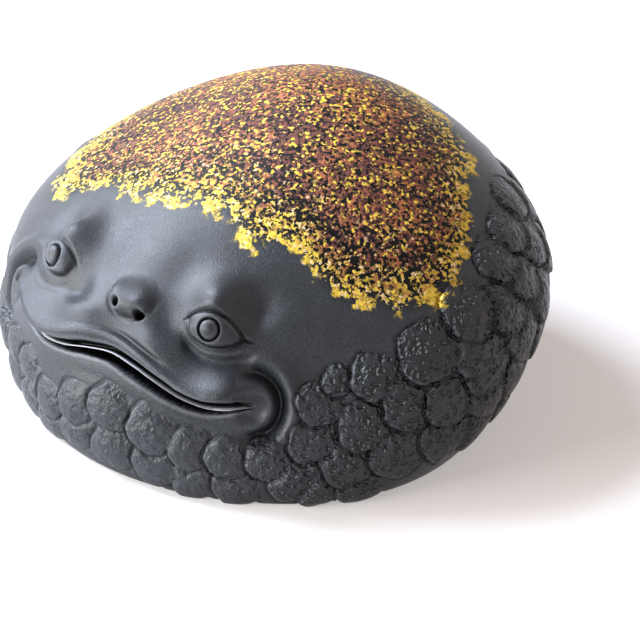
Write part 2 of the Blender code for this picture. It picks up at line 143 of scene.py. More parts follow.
def direction_of(bearing, level):
    """Return the unit direction of a place given in degrees."""
    bearing = math.radians(bearing)
    level = math.radians(level)
    return np.array((
        math.sin(bearing) * math.cos(level),
        -math.cos(bearing) * math.cos(level),
        math.sin(level),
    ))


# %% Shape the pebble
def pebble(direction):
    """Return the plain pebble's points in the given unit directions."""
    across, along, up = direction[..., 0], direction[..., 1], direction[..., 2]
    foot_share = FOOT_WIDTH / GIRTH_WIDTH
    drop = GIRTH_LEVEL / (1 - foot_share ** FLANK_POWER) ** (1 / FLANK_POWER)
    rise = HEIGHT - GIRTH_LEVEL
    power = np.where(up >= 0, CROWN_POWER, FLANK_POWER)
    level_radius = np.hypot(across, along)
    reach = (level_radius ** power + np.abs(up) ** power) ** (-1 / power)

    swelling = np.zeros(across.shape)
    for bearing, level, height in SWELLINGS:
        apart = np.arccos(np.clip(direction @ direction_of(bearing, level), -1, 1))
        swelling += height * bell(apart / math.radians(SWELLING_SPREAD))

    x = GIRTH_WIDTH / 2 * across * reach + swelling * across
    y = GIRTH_DEPTH / 2 * along * reach + swelling * along + LEAN_BACK * up * reach
    z = np.where(up >= 0, rise, drop) * up * reach + GIRTH_LEVEL + swelling * up
    rounded = (z + FOOT_ROUND) ** 2 / (4 * FOOT_ROUND)
    z = np.where(z > FOOT_ROUND, z, np.where(z < -FOOT_ROUND, 0.0, rounded))
    return np.stack((x, y, z), axis=-1)


def outward(direction):
    """Return the pebble's outward normals in the given directions."""
    helper = np.where(np.abs(direction[..., 2:3]) < 0.9, (0.0, 0.0, 1.0), (1.0, 0.0, 0.0))
    first = np.cross(direction, helper)
    first /= np.linalg.norm(first, axis=-1, keepdims=True)
    second = np.cross(direction, first)

    def slope(tangent):
        ahead = direction + SLOPE_STEP * tangent
        behind = direction - SLOPE_STEP * tangent
        ahead /= np.linalg.norm(ahead, axis=-1, keepdims=True)
        behind /= np.linalg.norm(behind, axis=-1, keepdims=True)
        return pebble(ahead) - pebble(behind)

    normal = np.cross(slope(first), slope(second))
    return normal / np.linalg.norm(normal, axis=-1, keepdims=True)


print("pebble's front at the girth, mm:", pebble(direction_of(0, 0)).round(1))

# %% [markdown]
# ## Working the clay
# Carving tools press in and push up along the skin's own normal, so the clay is kept as
# one height for each point. Two helpers find the points near a place, or near a line of
# places, and say how far each one lies to the right, up or along. Every feature is then a
# few soft bumps and grooves in millimetres. Real displacement was chosen over a bump map,
# because the lips, the lids and the scales all cast shadows and shape the outline.

# %% Curves and soft bumps
PROFILE_POINTS = 200
LINE_POINTS = 160
POINTS_AT_ONCE = 20000


def smooth_curve(knots, count):
    """Return count points on a smooth curve through the knots, as many between each pair."""
    knots = np.array(knots, dtype=float)
    slopes = np.gradient(knots, axis=0)
    where = np.linspace(0, len(knots) - 1, count)
    left = np.minimum(where.astype(int), len(knots) - 2)
    t = (where - left)[:, None]
    start, end = knots[left], knots[left + 1]
    return (
        start * (2 * t ** 3 - 3 * t ** 2 + 1)
        + end * (3 * t ** 2 - 2 * t ** 3)
        + slopes[left] * (t ** 3 - 2 * t ** 2 + t)
        + slopes[left + 1] * (t ** 3 - t ** 2)
    )


def profile(where, knots):
    """Return the height of a smooth curve through the knots at each distance along it."""
    curve = smooth_curve(knots, PROFILE_POINTS)
    return np.interp(where, curve[:, 0], curve[:, 1])


def fade_in(where, start, full):
    """Return 0 up to start, 1 from full on, and a straight slope between them."""
    return np.clip((where - start) / (full - start), 0, 1)


def swell(right, up, swellings):
    """Return a sum of soft oval bumps, each given by its place, its half sizes and its rise."""
    return sum(
        rise * bell((right - x) / wide) * bell((up - y) / tall)
        for x, y, wide, tall, rise in swellings
    )


print("a bump at 0, 1 and 2 of its half size:", bell(np.array((0.0, 1.0, 2.0))).round(2))


# %% A skin that can be worked
class Clay:
    """The pebble's skin while it is worked, with the height of every point above the pebble."""

    def __init__(self, direction):
        self.base = pebble(direction)
        self.normal = outward(direction)
        self.height = np.zeros(len(direction))
        self.pitted = np.zeros(len(direction))

    def around(self, bearing, level, reach):
        """Return the points within reach of a place, and how far right and up of it they lie."""
        centre_direction = direction_of(bearing, level)
        centre = pebble(centre_direction)
        normal = outward(centre_direction)
        right = np.cross((0.0, 0.0, 1.0), normal)
        right /= np.linalg.norm(right)
        up = np.cross(normal, right)
        offset = self.base - centre
        near = np.flatnonzero((offset * offset).sum(axis=1) < reach * reach)
        return near, offset[near] @ right, offset[near] @ up

    def along(self, places, reach):
        """Return the points near a line of places, how far along it each lies, and how far up."""
        line = smooth_curve(places, LINE_POINTS)
        directions = np.array([direction_of(bearing, level) for bearing, level in line])
        points = pebble(directions)
        ahead = np.gradient(points, axis=0)
        ahead /= np.linalg.norm(ahead, axis=1, keepdims=True)
        up = np.cross(outward(directions), ahead)
        low = points.min(axis=0) - reach
        high = points.max(axis=0) + reach
        near = np.flatnonzero(((self.base > low) & (self.base < high)).all(axis=1))
        closest = np.empty(len(near), dtype=int)
        for start in range(0, len(near), POINTS_AT_ONCE):
            some = slice(start, start + POINTS_AT_ONCE)
            offset = self.base[near[some]][:, None, :] - points[None, :, :]
            closest[some] = (offset * offset).sum(axis=2).argmin(axis=1)
        step = self.base[near] - points[closest]
        over = (step * up[closest]).sum(axis=1)
        past = (step * ahead[closest]).sum(axis=1)
        return near, closest / (len(points) - 1), over, past

    def points(self):
        """Return the worked skin, with the foot's flat kept flat."""
        worked = self.base + self.normal * self.height[:, None]
        flat = self.base[:, 2] <= 0
        worked[flat] = self.base[flat]
        worked[:, 2] = np.maximum(worked[:, 2], 0)
        return worked


# %% [markdown]
# ## Eyes
# Each eye is a ball that swells between two lids. A thin crease runs over it and out past
# its outer corner, a soft bag hangs under it, and the brow bulges above. Lids and bag are
# smooth curves through a few chosen points, in millimetres from the middle of the iris,
# with the first number growing away from the nose. Between the lids the ball takes the
# brow's place, so that the brow doesn't tip it over. An eye is written as its bearing, its
# level, its side and the strength of its lids: the one on the creature's right-hand side
# is cut more softly.

# %% Carve an eye
EYES = ((19.7, 15.4, 1, 1.0), (-21.6, 14.2, -1, 0.45))
EYE_REACH = 18.0
UPPER_LID = (
    (-5.6, 0.9), (-4.8, 1.4), (-3.0, 2.3), (-1.2, 2.8), (0.6, 2.8), (2.1, 2.2), (3.4, 1.4),
    (4.7, 0.2), (5.7, -0.7), (7.2, -0.9), (8.6, -0.6),
)
LOWER_LID = (
    (-3.6, 0.4), (-3.2, -0.7), (-2.3, -1.5), (-0.9, -2.15), (0.6, -2.4), (2.6, -2.2),
    (4.0, -1.7), (5.4, -0.8),
)
LID_RIM = (
    (-4.8, 0.0), (-4.2, -0.9), (-3.2, -1.9), (-1.9, -2.8), (-0.4, -3.35), (1.2, -3.55),
    (2.8, -3.45), (4.6, -2.9), (6.5, -2.0), (8.5, -1.4),
)
BAG_CREASE = (
    (-5.8, -0.6), (-4.9, -1.5), (-3.9, -2.5), (-2.6, -3.5), (-1.0, -4.3), (0.6, -4.7),
    (2.7, -4.7), (4.7, -4.3), (6.8, -3.5), (9.0, -2.2),
)
INNER_CORNER = -3.5
INNER_CORNER_SOFTNESS = 0.25
OUTER_CORNER = 5.4
OUTER_CORNER_SOFTNESS = 0.4
LID_INNER_END = -4.4
LID_INNER_FADE = 0.6
LID_OUTER_END = 7.2
LID_OUTER_FADE = 0.9
LID_EDGE = 0.2
EYEBALL_PLACE = (0.5, 0.2)
EYEBALL_RADIUS = 4.3
EYEBALL_STRETCH = 1.18
EYEBALL_RISE = 3.0
EYEBALL_LEAN = 0.22
EYEBALL_DROP = 0.35
LID_SEAM_WIDTH = 0.17
LID_SEAM_DEPTH = 0.4
LID_FOLD_OFFSET = 0.85
LID_FOLD_WIDTH = 0.5
LID_FOLD_RISE = 0.35
LOWER_SEAM_WIDTH = 0.2
LOWER_SEAM_DEPTH = 0.35
LID_RIM_WIDTH = 0.8
LID_RIM_RISE = 0.45
BAG_WIDTH = 1.1
BAG_DEPTH = 0.6
IRIS_RADIUS = 1.65
IRIS_RISE = 0.5
IRIS_GROOVE_WIDTH = 0.17
IRIS_GROOVE_DEPTH = 1.1
BROW = (0.8, 4.8, 4.2, 4.0, 3.5)
OUTER_HOLLOW = (6.6, 4.6, 3.0, 2.8, -1.6)
INNER_HOLLOW = (-7.6, 0.5, 2.2, 3.0, -0.6)


def eyeball(out, up):
    """Return the height of the ball, a cap that leans up to the sky and ends at the lids."""
    aside = (out - EYEBALL_PLACE[0]) / EYEBALL_STRETCH
    from_middle = aside ** 2 + (up - EYEBALL_PLACE[1]) ** 2
    cap = np.sqrt(np.clip(EYEBALL_RADIUS ** 2 - from_middle, 0, None)) - EYEBALL_RADIUS
    return np.maximum(cap + EYEBALL_RISE + EYEBALL_LEAN * up, -EYEBALL_DROP)


def carve_eye(clay, bearing, level, side, strength):
    """Raise an eyeball between two lids, with a domed iris in a groove, under a full brow."""
    near, right, up = clay.around(bearing, level, EYE_REACH)
    out = right * side
    upper = profile(out, UPPER_LID)
    lower = profile(out, LOWER_LID)
    open_run = inside(INNER_CORNER - out, INNER_CORNER_SOFTNESS)
    open_run = open_run * inside(out - OUTER_CORNER, OUTER_CORNER_SOFTNESS)
    lid_run = inside(LID_INNER_END - out, LID_INNER_FADE)
    lid_run = lid_run * inside(out - LID_OUTER_END, LID_OUTER_FADE)
    opening = inside(up - upper, LID_EDGE) * inside(lower - up, LID_EDGE) * open_run
    round_eye = swell(out, up, (BROW, OUTER_HOLLOW, INNER_HOLLOW))
    change = round_eye + (eyeball(out, up) - round_eye) * opening

    lids = -LID_SEAM_DEPTH * bell((up - upper) / LID_SEAM_WIDTH)
    lids += LID_FOLD_RISE * bell((up - upper - LID_FOLD_OFFSET) / LID_FOLD_WIDTH)
    lids += LID_RIM_RISE * bell((up - profile(out, LID_RIM)) / LID_RIM_WIDTH)
    lids -= BAG_DEPTH * bell((up - profile(out, BAG_CREASE)) / BAG_WIDTH)
    change += strength * lids * lid_run
    change -= strength * LOWER_SEAM_DEPTH * bell((up - lower) / LOWER_SEAM_WIDTH) * open_run

    from_iris = np.hypot(out, up)
    change += IRIS_RISE * np.clip(1 - (from_iris / IRIS_RADIUS) ** 2, 0, 1)
    groove = bell((from_iris - IRIS_RADIUS) / IRIS_GROOVE_WIDTH)
    change -= IRIS_GROOVE_DEPTH * groove * opening
    clay.height[near] += change


print("an eye is open for", round(OUTER_CORNER - INNER_CORNER, 1), "mm")

# %% [markdown]
# ## Nose and muzzle
# The nose is a small button pressed on between the eyes, with a crease round its wings and
# two nostrils poked with a stick. Its upper side melts into the bridge. Below it the
# muzzle swells on both sides, over a shallow hollow towards each cheek. Each swelling is
# written as its place, its two half sizes and its rise, and is pressed in on both sides.

# %% Carve the nose
NOSE_PLACE = (0.9, 18.0)
NOSE_REACH = 25.0
NOSE_HALF_WIDTH = 3.4
NOSE_HALF_HEIGHT = 3.1
NOSE_RISE = 3.0
NOSE_BRIDGE = 1.0
NOSE_BRIDGE_SOFTNESS = 3.6
NOSE_EDGE = 1.4
NOSE_CREASE_PLACE = 1.3
NOSE_CREASE_WIDTH = 0.16
NOSE_CREASE_FADE = 1.0
NOSE_CREASE_DEPTH = 0.5
NOSTRIL_SPREAD = 2.4
NOSTRIL_DROP = 2.4
NOSTRIL_SHIFT = 0.4
NOSTRIL_TILT = 0.2
NOSTRIL_STRETCH = 1.2
NOSTRIL_RADIUS = 0.62
NOSTRIL_EDGE = 0.2
NOSTRIL_DEPTH = 2.4
NOSE_WING = (3.0, -0.5, 1.6, 1.9, 0.5)
MUZZLE = (7.8, -5.2, 4.9, 3.9, 1.6)
CHEEK_HOLLOW = (11.5, -3.2, 4.5, 1.9, -1.2)
FOREHEAD_VALLEY = (5.8, 7.5, 3.2, 5.0, -0.35)


def carve_nose(clay):
    """Raise a small button nose with a crease under it, two nostrils and the muzzle below."""
    near, right, up = clay.around(*NOSE_PLACE, NOSE_REACH)
    rim = np.hypot(right / NOSE_HALF_WIDTH, up / NOSE_HALF_HEIGHT)
    button = inside((rim - 1.0) * NOSE_HALF_WIDTH, NOSE_EDGE)
    change = NOSE_RISE * inside(up - NOSE_BRIDGE, NOSE_BRIDGE_SOFTNESS) * button
    crease = bell((rim - NOSE_CREASE_PLACE) / NOSE_CREASE_WIDTH)
    change -= NOSE_CREASE_DEPTH * crease * inside(up, NOSE_CREASE_FADE)
    both_sides = (NOSE_WING, MUZZLE, CHEEK_HOLLOW, FOREHEAD_VALLEY)
    for side in (-1, 1):
        across = (right - NOSTRIL_SHIFT - side * NOSTRIL_SPREAD) / NOSTRIL_STRETCH
        nostril = np.hypot(across, up + NOSTRIL_DROP + side * NOSTRIL_TILT)
        change -= NOSTRIL_DEPTH * inside(nostril - NOSTRIL_RADIUS, NOSTRIL_EDGE)
        change += swell(right * side, up, both_sides)
    clay.height[near] += change


print("the nose is", 2 * NOSE_HALF_WIDTH, "mm wide, and stands at", NOSE_PLACE, "degrees")

# %% [markdown]
# ## Mouth
# The mouth is the piece's finest carving. Its driving line is a thin ridge that runs from
# corner to corner in a long wave. Under the ridge one slot is cut deep, so that it reads
# black. Over it lies a narrow recess, and over that the upper lip, with a crease in its
# bow. Slot and recess have their own widths along the line, and close to a point at both
# ends. Above the lip the cheeks roll up on either side of the middle, and one full cheek
# swells over the end on the creature's left-hand side. Slot, recess and lips are all
# measured from the ridge, so moving its line moves the whole mouth.

# %% Carve the mouth
RIDGE_LINE = (
    (-33.5, -1.2), (-27.0, -1.0), (-21.0, -2.2), (-15.5, -2.5), (-9.5, -0.6), (-3.8, 2.2),
    (1.8, 3.8), (7.4, 2.6), (12.5, 0.1), (17.5, -2.7), (22.5, -4.5), (26.0, -4.9),
    (29.6, -4.6),
)
SLOT_WIDTHS = (
    (0.0, 0.3), (0.15, 0.4), (0.3, 0.6), (0.4, 1.1), (0.5, 1.6), (0.58, 2.0), (0.66, 1.9),
    (0.75, 1.5), (0.85, 1.1), (0.94, 0.8), (1.0, 0.5),
)
RECESS_WIDTHS = (
    (0.0, 0.2), (0.15, 0.3), (0.3, 0.5), (0.4, 0.8), (0.5, 0.75), (0.65, 0.75), (0.8, 1.0),
    (0.88, 1.3), (0.95, 1.5), (1.0, 1.3),
)
MOUTH_REACH = 12.0
MOUTH_END = 3.0
SLOT_DEPTH = 7.0
SLOT_EDGE = 0.06
RIDGE_WIDTH = 0.34
RIDGE_RISE = 0.5
RIDGE_BEGINS = 0.2
RIDGE_FULL = 0.45
RECESS_DEPTH = 3.2
RECESS_EDGE = 0.12
UPPER_LIP_OFFSET = 1.9
UPPER_LIP_WIDTH = 1.0
UPPER_LIP_RISE = 0.9
BOW_PLACE = 0.45
BOW_SPREAD = 0.1
BOW_LIFT = 0.5
LIP_CREASE_OFFSET = 3.0
LIP_CREASE_WIDTH = 0.5
LIP_CREASE_DEPTH = 0.8
LIP_CREASE_PLACE = 0.57
LIP_CREASE_SPREAD = 0.1
MIDDLE_PLACE = 0.52
MIDDLE_SPREAD = 0.22
CHEEK_ROLL_OFFSET = 4.2
CHEEK_ROLL_WIDTH = 2.0
CHEEK_ROLL_RISE = 3.0
CHEEK_ROLL_GAP = 0.3
CHEEK_ROLL_EDGE = 0.4
LOWER_LIP_OFFSET = 1.1
LOWER_LIP_WIDTH = 1.2
LOWER_LIP_RISE = 0.12
CHIN_CREASE_OFFSET = 3.0
CHIN_CREASE_WIDTH = 0.8
CHIN_CREASE_DEPTH = 0.4
CHIN_CREASE_BEGINS = 0.36
CHIN_CREASE_FULL = 0.76
CHEEK_PLACE = (27.5, 0.6)
CHEEK_REACH = 14.0
CHEEK_BALL = (0.0, 0.0, 5.2, 2.6, 3.0)


def carve_mouth(clay):
    """Cut the long wavy slot and the recess over it, and roll the two lips and the cheeks."""
    near, share, over, past = clay.along(RIDGE_LINE, MOUTH_REACH)
    ends = np.clip(1 - np.abs(past) / MOUTH_END, 0, 1)
    slot_width = np.interp(share, *zip(*SLOT_WIDTHS)) * ends
    recess_width = np.interp(share, *zip(*RECESS_WIDTHS)) * np.sqrt(ends)
    lips = np.sqrt(np.clip(np.sin(np.pi * share), 0, 1)) * ends
    middle = bell((share - MIDDLE_PLACE) / MIDDLE_SPREAD)
    bow = BOW_LIFT * bell((share - BOW_PLACE) / BOW_SPREAD)

    half_ridge = 0.5 * RIDGE_WIDTH
    below_slot = -half_ridge - slot_width - over
    recess_top = half_ridge + recess_width
    slot = inside(over + half_ridge, SLOT_EDGE) * inside(below_slot, SLOT_EDGE)
    recess = inside(over - recess_top, RECESS_EDGE) * inside(half_ridge - over, SLOT_EDGE)
    ridge = bell(over / RIDGE_WIDTH) * fade_in(share, RIDGE_BEGINS, RIDGE_FULL)
    change = (RIDGE_RISE * ridge - SLOT_DEPTH * slot - RECESS_DEPTH * recess) * ends

    change += UPPER_LIP_RISE * bell((over - UPPER_LIP_OFFSET - bow) / UPPER_LIP_WIDTH) * lips
    crease = bell((over - LIP_CREASE_OFFSET - bow) / LIP_CREASE_WIDTH)
    crease_run = bell((share - LIP_CREASE_PLACE) / LIP_CREASE_SPREAD)
    change -= LIP_CREASE_DEPTH * crease * crease_run * ends
    roll = inside(over - CHEEK_ROLL_OFFSET, CHEEK_ROLL_WIDTH)
    roll = roll * inside(recess_top + CHEEK_ROLL_GAP - over, CHEEK_ROLL_EDGE)
    change += CHEEK_ROLL_RISE * roll * (1 - middle) * lips
    change += LOWER_LIP_RISE * bell((below_slot - LOWER_LIP_OFFSET) / LOWER_LIP_WIDTH) * lips
    chin_crease = bell((below_slot - CHIN_CREASE_OFFSET) / CHIN_CREASE_WIDTH)
    chin_run = lips * fade_in(share, CHIN_CREASE_BEGINS, CHIN_CREASE_FULL)
    change -= CHIN_CREASE_DEPTH * chin_crease * chin_run
    clay.height[near] += change

    near, right, up = clay.around(*CHEEK_PLACE, CHEEK_REACH)
    clay.height[near] += swell(right, up, (CHEEK_BALL,))


print("the slot is", max(width for _, width in SLOT_WIDTHS), "mm wide at its widest")

# %% [markdown]
# ## The mouth's corners
# At each end the lips curl round a pocket. A groove runs round the outside of the pocket,
# and a fold of clay round the groove. All three open towards the mouth, so each ring fades
# out where it would cross the slot.

# %% Carve the mouth's corners
CORNERS = ((32.6, -3.8, 1), (-33.8, -1.6, -1))
CORNER_REACH = 14.0
CORNER_STRETCH = 0.85
CORNER_CURL = 100.0
CORNER_FADE = 20.0
POCKET_RADIUS = 2.4
POCKET_EDGE = 0.9
POCKET_DEPTH = 1.1
RIM_RADIUS = 2.7
RIM_WIDTH = 0.7
RIM_RISE = 0.3
CORNER_GROOVE_RADIUS = 4.6
CORNER_GROOVE_WIDTH = 0.95
CORNER_GROOVE_DEPTH = 2.0
FOLD_RADIUS = 6.9
FOLD_WIDTH = 1.3
FOLD_RISE = 0.7


def carve_corner(clay, bearing, level, side):
    """Sink a pocket at one end of the mouth, with a rim, a groove and a fold round it."""
    near, right, up = clay.around(bearing, level, CORNER_REACH)
    out = right * side
    up = up * CORNER_STRETCH
    distance = np.hypot(out, up)
    curl = inside(np.degrees(np.abs(np.arctan2(up, out))) - CORNER_CURL, CORNER_FADE)
    rings = RIM_RISE * bell((distance - RIM_RADIUS) / RIM_WIDTH)
    groove = bell((distance - CORNER_GROOVE_RADIUS) / CORNER_GROOVE_WIDTH)
    rings -= CORNER_GROOVE_DEPTH * groove
    rings += FOLD_RISE * bell((distance - FOLD_RADIUS) / FOLD_WIDTH)
    pocket = inside(distance - POCKET_RADIUS, POCKET_EDGE)
    clay.height[near] += rings * curl - POCKET_DEPTH * pocket


print("corner folds end", FOLD_RADIUS + FOLD_WIDTH, "mm from their pockets")

# %% [markdown]
# ## Scales
# The scales are thin pads of clay laid like roof tiles, from the foot upwards, so each one
# laps the row under it and leaves a dark line along its lower edge. Each pad has its own
# uneven outline, and is sunk to one side. The places are listed, each with its bearing,
# level and radius; everything else about a pad comes from a seeded draw. The far
# flank, which the photograph doesn't show, takes the near one's places, a little shifted.
# Each point under a scale also keeps a number, small at the chin and 1 at the back. The
# finish turns it into wrinkles, into pricks from a pointed stick, and into painted shade that
# darkens the back.

# %% Places of the scales
CHIN_SCALES = (
    (-28, -13.5, 3.4), (-20.6, -13.8, 3.4), (-16.8, -17.0, 3.4), (-12.1, -18.3, 3.8),
    (-4.0, -13.6, 4.2), (4.0, -10.6, 4.3), (13.6, -13.4, 4.6), (22.4, -17.3, 4.2),
    (30.6, -19.4, 3.9), (39.4, -19.3, 3.9), (-21.0, -25.0, 3.8), (-12.5, -26.0, 3.8),
    (-3.8, -21.9, 4.1), (5.7, -22.6, 4.5), (15.5, -25.2, 4.2), (24.7, -28.0, 4.2),
    (34.8, -28.9, 4.2), (46.3, -26.0, 4.0), (-30, -24, 3.8), (-38, -17, 3.8),
)
FLANK_SCALES = (
    (47.5, -2.6, 4.1), (48.2, -13.8, 4.1), (50, 5.0, 2.8), (58.4, 5.5, 4.1),
    (59.7, -9.6, 4.7), (58.5, -20.8, 4.6), (68.8, -4.4, 4.5), (71.8, 10.9, 5.4),
    (70.9, -18.5, 5.4), (80.2, -6.0, 4.6), (85.8, 8.1, 5.0), (84, -18, 5.2),
    (84.4, 19.0, 5.2), (90, 0, 5.0), (95, -9, 5.0), (97, 15, 4.8), (99, 28, 4.6),
    (104, 3, 5.0), (98, -21, 5.2), (107, 19, 4.8), (108, -9, 5.6), (110, 31, 4.4),
    (116, 8, 5.0), (112, -21, 5.2), (119, 22, 4.8), (121, -6, 5.4), (123, 34, 4.4),
    (128, 14, 5.0), (127, -20, 5.2), (54, -28, 4.4), (66, -31, 4.2), (133, 27, 4.8),
    (134, -5, 5.2), (141, 10, 5.2), (141, -19, 5.2), (147, 24, 4.6), (148, -5, 5.2),
    (155, 12, 5.0), (155, -19, 5.2), (161, 25, 4.6), (162, -4, 5.2), (168, 11, 5.0),
    (169, -18, 5.2), (174, 25, 4.6), (176, -3, 5.2),
)
FAR_FLANK_TOP = 9
FAR_FLANK_FRONT = 75
FAR_FLANK_FRONT_TOP = -8
FAR_FLANK_SHIFT = 1.5
SCALE_SEED = 7
ROW_HEIGHT = 6


def scale_places():
    """Return every scale, lowest first, so that each one laps the row under it."""
    chance = np.random.default_rng(SCALE_SEED)
    places = list(CHIN_SCALES) + list(FLANK_SCALES)
    for bearing, level, radius in FLANK_SCALES:
        shift = chance.uniform(-FAR_FLANK_SHIFT, FAR_FLANK_SHIFT, 2)
        top = FAR_FLANK_FRONT_TOP if bearing < FAR_FLANK_FRONT else FAR_FLANK_TOP
        if level < top:
            places.append((-bearing + shift[0], level + shift[1], radius))
    return sorted(places, key=lambda place: (round(place[1] / ROW_HEIGHT), place[0]))


print("scales to lay:", len(scale_places()))

# %% Lay the scales
SCALE_REACH = 1.9
SCALE_RISE = 0.35
SCALE_SLOPE = 0.4
SCALE_SLOPE_DRAW = (0.6, 1.1)
SCALE_DOME = 0.55
DOME_LEVEL = 0.7
SCALE_EDGE = 0.24
EDGE_PLACE = 0.95
SCALE_GROOVE = 0.4
SCALE_GROOVE_WIDTH = 0.3
GROOVE_STRENGTH = 0.65
GROOVE_STRENGTH_SLOPE = 0.45
SCALE_BED = 0.1
SCALE_BED_EDGE = 0.5
SCALE_SQUARENESS = 2.25
SCALE_LEAN = 0.4
SCALE_SINK = 0.6
SCALE_WAVES = ((0.25, 0.8), (0.08, 2.2))
PITS_BEGIN = 30
PITS_FULL = 90
PITS_LEAST = 0.25


def wavy(where, beside, turn):
    """Return places that wander in small waves, for an outline that isn't quite round."""
    return where + sum(
        size * np.sin(pitch * beside + turn * pitch) for size, pitch in SCALE_WAVES
    )


def lay_scales(clay):
    """Lap scales over each other, each sunk to one side and with its own uneven outline."""
    chance = np.random.default_rng(SCALE_SEED)
    top = np.zeros(len(clay.height))
    bed = np.zeros(len(clay.height))
    for bearing, level, radius in scale_places():
        near, right, up = clay.around(bearing, level, radius * SCALE_REACH)
        turn = chance.uniform(0, 2 * math.pi, 2)
        lean = chance.uniform(-SCALE_LEAN, SCALE_LEAN)
        slope = SCALE_SLOPE * chance.uniform(*SCALE_SLOPE_DRAW)
        across, along = wavy(right, up, turn[0]), wavy(up, right, turn[1])
        wide = across * math.cos(lean) + along * math.sin(lean)
        tall = along * math.cos(lean) - across * math.sin(lean)
        power = SCALE_SQUARENESS
        rim = (np.abs(wide) ** power + np.abs(tall) ** power) ** (1 / power) / radius
        sunk = (right + SCALE_SINK * up) / radius
        surface = SCALE_RISE - slope * sunk + SCALE_DOME * (DOME_LEVEL - rim ** 2)
        cover = inside((rim - EDGE_PLACE) * radius, SCALE_EDGE)
        past_rim = (rim - 1.0) * radius
        strength = np.clip(GROOVE_STRENGTH - GROOVE_STRENGTH_SLOPE * sunk, 0, 1)
        top[near] += (surface - top[near]) * cover
        top[near] -= SCALE_GROOVE * bell(past_rim / SCALE_GROOVE_WIDTH) * strength
        bed[near] = np.maximum(bed[near], inside(past_rim, SCALE_BED_EDGE))
    clay.height += top - SCALE_BED * bed
    bearing = np.degrees(np.arctan2(np.abs(clay.base[:, 0]), -clay.base[:, 1]))
    towards_back = fade_in(bearing, PITS_BEGIN, PITS_FULL)
    clay.pitted = bed * (PITS_LEAST + (1 - PITS_LEAST) * towards_back)


# %% [markdown]
# ## Where the glaze lies
# The glaze was sprinkled over the crown as coarse grains and then fired. Its edge is a
# ragged line that dips low over the brow and the flank. The edge is given as a smooth
# curve of bearings and levels round the pebble. Each point of the skin then keeps one
# number: how many millimetres it lies inside that edge. The finish turns it into thicker
# or thinner grain, and frays the edge.

# %% Measure the depth into the glaze
GLAZE_EDGE = (
    (-180, 55), (-150, 44), (-120, 33), (-90, 22), (-65, 17), (-45, 20), (-36, 31.5), (-16, 38.6),
    (-2, 42.8), (10, 44.4), (16, 41.5), (22, 39.5), (28, 40.9), (36, 38.5), (40, 34), (46, 29.1),
    (52, 25.4), (58, 26), (63, 23.9), (73, 24.2), (79, 26.8), (88, 33.8), (97, 41), (101, 46.5),
    (113, 49), (129, 54), (142, 56.5), (156, 59), (180, 55),
)
MILLIMETRES_PER_LEVEL = 0.62


def glaze_depth(direction):
    """Return how far each direction lies inside the glaze's edge, in millimetres."""
    bearing = np.degrees(np.arctan2(direction[:, 0], -direction[:, 1]))
    level = np.degrees(np.arcsin(np.clip(direction[:, 2], -1, 1)))
    return (level - profile(bearing, GLAZE_EDGE)) * MILLIMETRES_PER_LEVEL


print("the glaze comes down to level", min(level for _, level in GLAZE_EDGE))

# %% [markdown]
# ## The finely carved body
# The skin starts from Blender's icosphere, whose triangles are nearly even. Its points are
# crowded towards the face, where the carving is finest, and then each one is moved to its
# place on the worked clay, and the round vent is sunk into the foot. A Decimate modifier
# then takes triangles away where the skin is smooth. The hollow behind the vent stays in the
# measured model, because no view of the outside shows it.

# %% Build the skin
FACE_CROWDING = 0.45
CROWDED_PLACE = (10, -5)
SKIN_SUBDIVISIONS = 9
SKIN_TRIANGLES = 190000
HOLLOW_PASSES = 12
# Hollows deeper than this are painted no darker, and lift no more painted highlight.
DEEPEST_PAINTED_SHADE = -2.0
VENT_RADIUS = 5.5
VENT_DEPTH = 6.0
VENT_EDGE = 0.15
FOOT_FLATNESS = 0.01


def sphere_mesh(name, subdivisions, crowding, shape):
    """Build a mesh from an icosphere whose points are crowded at the face and then shaped."""
    form = bmesh.new()
    bmesh.ops.create_icosphere(form, subdivisions=subdivisions, radius=1.0)
    mesh = bpy.data.meshes.new(name)
    form.to_mesh(mesh)
    form.free()
    direction = np.empty(len(mesh.vertices) * 3)
    mesh.vertices.foreach_get("co", direction)
    direction = direction.reshape(-1, 3) + crowding * direction_of(*CROWDED_PLACE)
    direction /= np.linalg.norm(direction, axis=1, keepdims=True)
    shape(mesh, direction)
    mesh.update()
    return mesh


def set_points(mesh, points):
    """Move the mesh's points to places given in millimetres."""
    mesh.vertices.foreach_set("co", (points * METRES).ravel())


def keep_number(mesh, name, numbers):
    """Store one number for each point of the mesh, for the material to read."""
    mesh.attributes.new(name, "FLOAT", "POINT").data.foreach_set("value", numbers)


def hollowness(mesh, height):
    """Return how far each point lies under the skin close round it, in millimetres."""
    ends = np.empty(2 * len(mesh.edges), dtype=np.int32)
    mesh.edges.foreach_get("vertices", ends)
    first, second = ends[0::2], ends[1::2]
    count = len(height)
    neighbours = np.bincount(ends, minlength=count)
    height = np.maximum(height, DEEPEST_PAINTED_SHADE)
    mean = height
    for _ in range(HOLLOW_PASSES):
        total = np.bincount(first, mean[second], count)
        total += np.bincount(second, mean[first], count)
        mean = total / neighbours
    return mean - height


def worked_skin(mesh, direction):
    """Carve the creature's outer skin, and note the numbers that its finish needs."""
    clay = Clay(direction)
    lay_scales(clay)
    for eye in EYES:
        carve_eye(clay, *eye)
    carve_nose(clay)
    carve_mouth(clay)
    for corner in CORNERS:
        carve_corner(clay, *corner)
    points = clay.points()
    points -= (points.min(axis=0) + points.max(axis=0)) / 2 * (1, 1, 0)
    in_vent = inside(np.hypot(points[:, 0], points[:, 1]) - VENT_RADIUS, VENT_EDGE)
    points[:, 2] += VENT_DEPTH * in_vent * (points[:, 2] < FOOT_FLATNESS)
    set_points(mesh, points)
    keep_number(mesh, "glaze_depth", glaze_depth(direction))
    # The finish paints shade in the hollows and a highlight on the raised edges from this number.
    keep_number(mesh, "hollow", hollowness(mesh, clay.height))
    keep_number(mesh, "pitted", clay.pitted)


